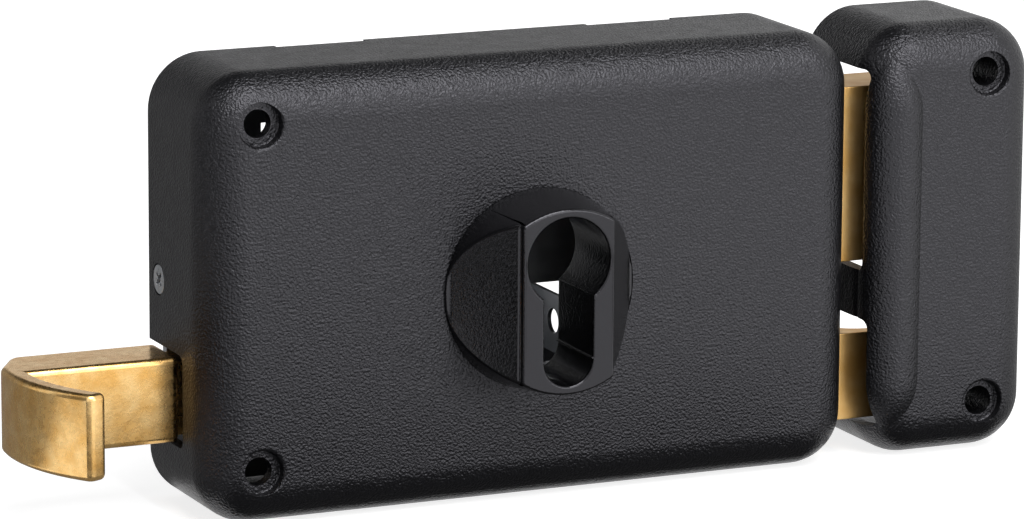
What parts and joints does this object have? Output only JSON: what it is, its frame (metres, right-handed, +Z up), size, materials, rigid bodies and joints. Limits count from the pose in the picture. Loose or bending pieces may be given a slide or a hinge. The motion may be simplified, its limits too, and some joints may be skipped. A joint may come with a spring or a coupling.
{
  "type": "rim lock",
  "caption": "Surface-mounted rim lock with a profile-cylinder collar, a sliding dead bolt, a sprung latch bolt drawn by a hooked pull, and a matching box strike.",
  "frame": {"origin": "on the lock cylinder's axis, in the plane of the door's face (rear of the case)", "axes": "+X from the pull side to the strike, +Y into the door (the lock's front faces -Y), +Z up"},
  "size_m": [0.2161, 0.0459, 0.089],
  "materials": {
    "black_coating": "fine textured powder coat, matt black",
    "zinc_plate": "zinc-plated steel",
    "satin_brass": "satin brushed brass",
    "steel": "plain bright steel",
    "spring_steel": "oiled spring steel"
  },
  "bodies": {
    "case": {"case_cover": "black_coating", "back_plate": "zinc_plate", "side_screws": "zinc_plate", "cylinder_collar": "black_coating", "collar_clamp": "steel", "collar_screws": "steel", "bolt_guide_post": "steel", "latch_guide_post": "steel", "lever_pivot": "steel", "tumbler": "spring_steel", "tumbler_rivets": "steel", "latch_spring": "spring_steel"},
    "bolt": {"dead_bolt": "satin_brass", "bolt_plate": "steel", "bolt_rivets": "steel"},
    "latch": {"latch_bolt": "satin_brass", "latch_slide": "steel", "latch_rivets": "steel", "pull_handle": "satin_brass", "pull_rivets": "steel", "slide_stud": "steel", "spring_rod": "steel"},
    "lever": {"latch_lever": "steel"},
    "strike": {"strike_box": "black_coating"}
  },
  "joints": [
    {"name": "bolt_slide", "type": "slide", "parent": "case", "child": "bolt", "axis": [1, 0, 0], "range_m": [-0.0215, 0], "deforming": ["tumbler"]},
    {"name": "latch_slide", "type": "slide", "parent": "case", "child": "latch", "axis": [1, 0, 0], "range_m": [-0.014, 0], "stiffness_N_per_m": 250, "springref_m": 0.01, "deforming": ["latch_spring"]},
    {"name": "latch_lever_turn", "type": "hinge", "parent": "case", "child": "lever", "pos_m": [-0.03, -0.0112, -0.01], "axis": [0, 1, 0], "range_deg": [-0.01, 36.9]},
    {"name": "strike_part_away", "type": "slide", "parent": "case", "child": "strike", "axis": [1, 0, 0], "range_m": [0, 0.03]}
  ],
  "couplings": [
    {"joint": "latch_lever_turn", "follows": "latch_slide", "rad_per_m": -45.96}
  ]
}
